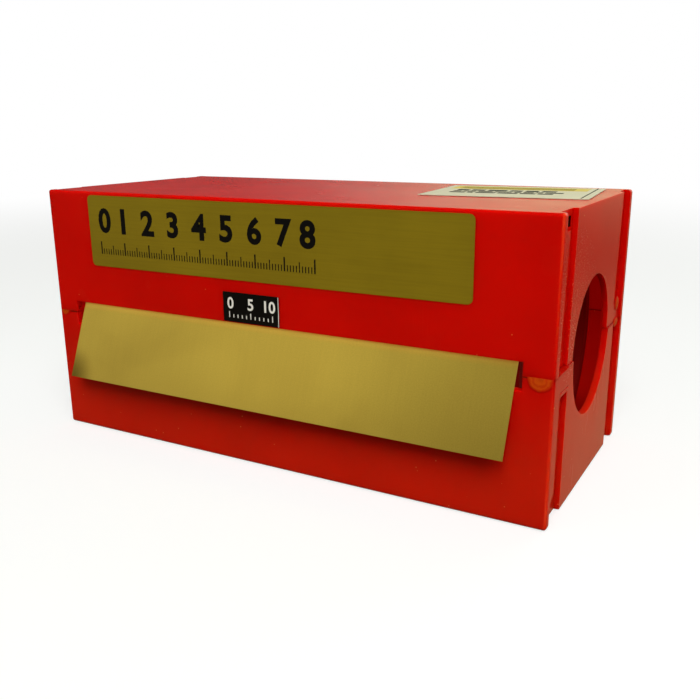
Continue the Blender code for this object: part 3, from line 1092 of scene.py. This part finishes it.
camera = bpy.data.objects.new("camera", bpy.data.cameras.new("camera"))
bpy.context.scene.collection.objects.link(camera)
camera.data.lens = view["lens"]
camera.data.sensor_width = view["sensor"]
camera.data.clip_start = view["nearest"]
aim = (
    Matrix.Rotation(math.radians(view["heading"]), 4, "Z")
    @ Matrix.Rotation(math.radians(90 - view["downward"]), 4, "X")
    @ Matrix.Rotation(math.radians(view["roll"]), 4, "Z")
)
camera.matrix_world = Matrix.Translation(view["place"]) @ aim
bpy.context.scene.camera = camera


# Floor, studio light and the world behind

studio = {
    "floorColour": (0.44, 0.46, 0.485),
    "floorBounce": (0.10, 0.088, 0.06),      # what the object sees of it
    "floorLift": 0.60,
    "floorGloss": {"near": 0.85, "far": 0.15, "reach": (0.12, 0.5), "tint": (1.0, 0.70, 0.38)},
    "floorRoughness": 0.9,
    "floorRadius": 12.0,
    "floorSides": 64,
    "floorHeight": -0.0003,
    "floorEnd": (0.25, 1.1),                 # where the floor fades into the backdrop
    "backdrop": (0.87, 0.97, 0.60),
    "backdropLeft": (0.92, 0.95, 0.92),
    "behind": 1.3,                           # light from the bright backdrop behind the box
    "behindLeft": 0.20,                      # and from its dark parts
    "behindRight": 0.30,
    "around": 0.18,                          # light from low on the other sides
    "above": 0.12,
    "behindFrom": (0.15, 0.5),               # directions from the object, each part from -1 to 1
    "leftEdge": (-0.62, -0.26),
    "rightEdge": (-0.05, 0.12),
    "topBehind": (0.25, 0.6),
    "topAround": (0.13, 0.34),
    "lampColour": (1.0, 0.97, 0.90),
    "lampsAround": (0, 0, 0.04),             # what the lamps point at
    "lamps": {
        "highLamp": {"toward": (0.35, -0.60, 0.72), "distance": 1.10, "size": 0.7, "power": 11.6},
        "leftSoftbox": {"toward": (-0.58, -0.74, 0.36), "distance": 1.10, "size": 0.8, "power": 1.40},
        "rightSoftbox": {"toward": (0.93, -0.33, 0.16), "distance": 1.20, "size": 0.7, "power": 2.5},
        "backSoftbox": {"toward": (0.30, 0.90, 0.30), "distance": 1.20, "size": 0.8, "power": 3.4},
    },
}


def seenDirectly(tree):
    path = addNode(tree, "LightPath").outputs
    seen = mathNode(tree, "MAXIMUM", path["Is Camera Ray"], path["Is Glossy Ray"])
    return mathNode(tree, "MAXIMUM", seen, path["Is Transmission Ray"])


def makeFloor():
    sides = studio["floorSides"]
    place = (0, 0, studio["floorHeight"])
    radius = studio["floorRadius"]
    bpy.ops.mesh.primitive_circle_add(vertices=sides, radius=radius, fill_type="NGON", location=place)
    floor = settle(named(bpy.context.object, "floor"))
    made = newMaterial("floorPaper")
    tree = made.node_tree
    distance = addNode(tree, "VectorMath", {0: objectCoords(tree)}, operation="LENGTH").outputs["Value"]
    far = rangeNode(tree, distance, *studio["floorEnd"])
    white = addNode(tree, "LightPath").outputs["Is Camera Ray"]
    colour = mixColour(tree, white, studio["floorBounce"], studio["floorColour"])
    gloss = studio["floorGloss"]
    lift = rangeNode(tree, distance, *gloss["reach"], gloss["near"], gloss["far"])
    lift = mixValue(tree, white, lift, studio["floorLift"])
    lift = product(tree, seenDirectly(tree), lift)
    tint = mixColour(tree, white, gloss["tint"], (1, 1, 1))
    near = setShader(
        tree,
        Base_Color=colour,
        Roughness=studio["floorRoughness"],
        Specular_IOR_Level=0.0,
        Emission_Color=tint,
        Emission_Strength=lift,
    )
    level = mixValue(tree, seenDirectly(tree), studio["around"], 1.0)
    glow = addNode(tree, "Emission", {"Color": tint, "Strength": level})
    mix = addNode(tree, "MixShader", {0: far, 1: near.outputs[0], 2: glow.outputs[0]})
    tree.links.new(mix.outputs[0], tree.nodes["Material Output"].inputs["Surface"])
    floor.data.materials.append(made)


def makeWorld():
    world = bpy.data.worlds.new("studio")
    bpy.context.scene.world = world
    world.use_nodes = True
    tree = world.node_tree
    toward = addNode(tree, "TexCoord").outputs["Generated"]
    part = addNode(tree, "SeparateXYZ", {0: toward}).outputs
    behind = rangeNode(tree, part["Y"], *studio["behindFrom"])
    pastLeft = rangeNode(tree, part["X"], *studio["leftEdge"])
    pastRight = rangeNode(tree, part["X"], *studio["rightEdge"])
    back = mixValue(tree, pastLeft, studio["behindLeft"], studio["behind"])
    back = mixValue(tree, pastRight, back, studio["behindRight"])
    back = mixValue(tree, rangeNode(tree, part["Z"], *studio["topBehind"]), back, studio["above"])
    high = rangeNode(tree, part["Z"], *studio["topAround"])
    front = mixValue(tree, high, studio["around"], studio["above"])
    level = mixValue(tree, behind, front, back)
    colour = mixColour(tree, pastLeft, studio["backdropLeft"], studio["backdrop"])
    lit = addNode(tree, "Background", {"Color": colour, "Strength": level})
    path = addNode(tree, "LightPath").outputs
    seen = mathNode(tree, "MAXIMUM", path["Is Camera Ray"], path["Is Transmission Ray"])
    white = tree.nodes["Background"]
    white.inputs["Color"].default_value = (1, 1, 1, 1)
    mix = addNode(tree, "MixShader", {0: seen, 1: lit.outputs[0], 2: white.outputs[0]})
    tree.links.new(mix.outputs[0], tree.nodes["World Output"].inputs["Surface"])


def makeLamp(name, lamp):
    data = bpy.data.lights.new(name, "AREA")
    data.size = lamp["size"]
    data.energy = lamp["power"]
    data.color = studio["lampColour"]
    made = bpy.data.objects.new(name, data)
    bpy.context.scene.collection.objects.link(made)
    toward = Vector(lamp["toward"]).normalized()
    made.location = Vector(studio["lampsAround"]) + toward * lamp["distance"]
    made.rotation_euler = toward.to_track_quat("Z", "Y").to_euler()
    made.visible_camera = False


makeFloor()
makeWorld()
for name, lamp in studio["lamps"].items():
    makeLamp(name, lamp)
bpy.context.scene.view_settings.view_transform = "Standard"
print("studio set")
